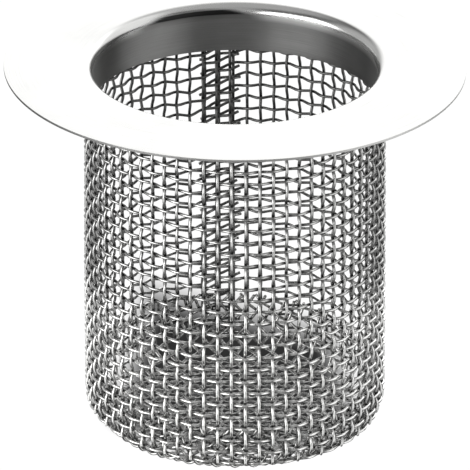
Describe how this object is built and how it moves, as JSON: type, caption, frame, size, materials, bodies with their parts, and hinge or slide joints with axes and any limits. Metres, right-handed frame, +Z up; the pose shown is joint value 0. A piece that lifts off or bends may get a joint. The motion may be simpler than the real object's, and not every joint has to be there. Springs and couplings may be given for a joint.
{
  "type": "sink strainer",
  "caption": "Deep sink strainer basket of woven steel wire cloth under a wide flat pressed flange, which hangs in a drain opening and catches food scraps.",
  "frame": {"origin": "centre of the basket's resting plane, on the strainer's axis", "axes": "+Z up along the axis towards the flange, -Y towards the viewer of the picture, lap of the cloth at the back (+Y)"},
  "size_m": [0.112, 0.112, 0.094],
  "materials": {
    "rim": "polished sheet",
    "wire": "bright drawn wire"
  },
  "bodies": {
    "root": {"flange_ring": "rim", "upright_wires": "wire", "hoop_wire_01": "wire", "hoop_wire_02": "wire", "hoop_wire_03": "wire", "hoop_wire_04": "wire", "hoop_wire_05": "wire", "hoop_wire_06": "wire", "hoop_wire_07": "wire", "hoop_wire_08": "wire", "hoop_wire_09": "wire", "hoop_wire_10": "wire", "hoop_wire_11": "wire", "hoop_wire_12": "wire", "hoop_wire_13": "wire", "hoop_wire_14": "wire", "hoop_wire_15": "wire", "hoop_wire_16": "wire", "hoop_wire_17": "wire", "hoop_wire_18": "wire", "hoop_wire_19": "wire", "hoop_wire_20": "wire", "hoop_wire_21": "wire", "hoop_wire_22": "wire", "hoop_wire_23": "wire", "hoop_wire_24": "wire", "hoop_wire_25": "wire", "hoop_wire_26": "wire", "hoop_wire_27": "wire", "hoop_wire_28": "wire", "hoop_wire_29": "wire", "base_wires_long": "wire", "base_wires_cross": "wire"}
  },
  "joints": []
}
